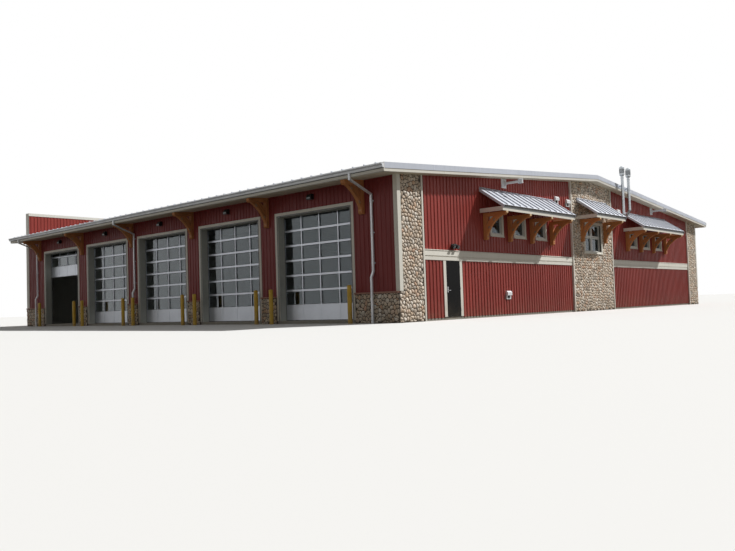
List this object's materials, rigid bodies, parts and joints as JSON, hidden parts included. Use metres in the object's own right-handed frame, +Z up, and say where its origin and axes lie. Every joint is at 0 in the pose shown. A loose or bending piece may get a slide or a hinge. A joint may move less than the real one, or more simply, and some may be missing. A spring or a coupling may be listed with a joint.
{
  "type": "fire station building",
  "caption": "One-storey fire station with a row of glazed overhead doors, ribbed siding, river-stone pilasters, bracketed canopies and a low metal gable roof.",
  "frame": {"origin": "under the middle of the whole outline, at the foot of the walls", "axes": "+X out of the gable side with the man door, -Y out of the front with the overhead doors, +Z up"},
  "size_m": [31.54, 33.5, 7.58],
  "materials": {
    "concrete": "cast, trowelled",
    "siding": "baked red enamel, ribbed sheet",
    "roof_metal": "silver-grey standing seam",
    "white_trim": "pale grey enamel flashing",
    "cream_trim": "cream enamel",
    "cobble": "rounded river stones in grey mortar",
    "stone_cap": "cut sandstone",
    "timber": "orange-brown stained",
    "door_aluminium": "clear anodised",
    "track_steel": "galvanised",
    "glass": "clear, dark behind",
    "door_paint": "charcoal enamel",
    "hinge_steel": "satin",
    "window_vinyl": "white, satin",
    "lamp_black": "black with clear lens",
    "lamp_white": "white enamel",
    "flue_steel": "stainless",
    "bollard_yellow": "safety yellow"
  },
  "bodies": {
    "building": {"floor_slab": "concrete", "front_piers": "siding", "front_header": "siding", "back_wall": "siding", "left_wall": "siding", "right_wall_by_door": "siding", "right_wall_over_door": "siding", "right_wall": "siding", "roof_front_slope": "roof_metal", "roof_back_slope": "roof_metal", "ridge_cap": "roof_metal", "rake_boards": "cream_trim", "rake_flashing": "white_trim", "eave_fascias": "cream_trim", "gutters": "white_trim", "downspouts": "white_trim", "parapet_cap": "cream_trim", "eave_posts": "timber", "eave_beams": "timber", "eave_braces": "timber", "stone_pilasters": "cobble", "stone_wainscot": "cobble", "wainscot_caps": "stone_cap", "corner_trims": "cream_trim", "pilaster_trims": "cream_trim", "belt_bands": "cream_trim", "casing_jambs": "cream_trim", "casing_heads": "cream_trim", "raised_bay_door": "door_aluminium", "closed_bay_doors": "door_aluminium", "bay_door_glass": "glass", "upright_tracks": "track_steel", "overhead_tracks": "track_steel", "door_frame": "cream_trim", "frame_hinges": "hinge_steel", "window_trims": "cream_trim", "window_sashes": "window_vinyl", "window_glass": "glass", "canopy_boards": "cream_trim", "canopy_roofs": "roof_metal", "canopy_posts": "timber", "canopy_beams": "timber", "canopy_braces": "timber", "wall_lights": "lamp_black", "arm_lights": "lamp_white", "wall_vents": "lamp_white", "flues": "flue_steel", "bollards": "bollard_yellow"},
    "man_door": {"door_leaf": "door_paint", "door_hinges": "hinge_steel", "door_lever": "hinge_steel"}
  },
  "joints": [
    {"name": "man_door_hinge", "type": "hinge", "parent": "building", "child": "man_door", "pos_m": [14.653, -11.8025, 1.18], "axis": [0, 0, 1], "range_deg": [0, 110]}
  ]
}
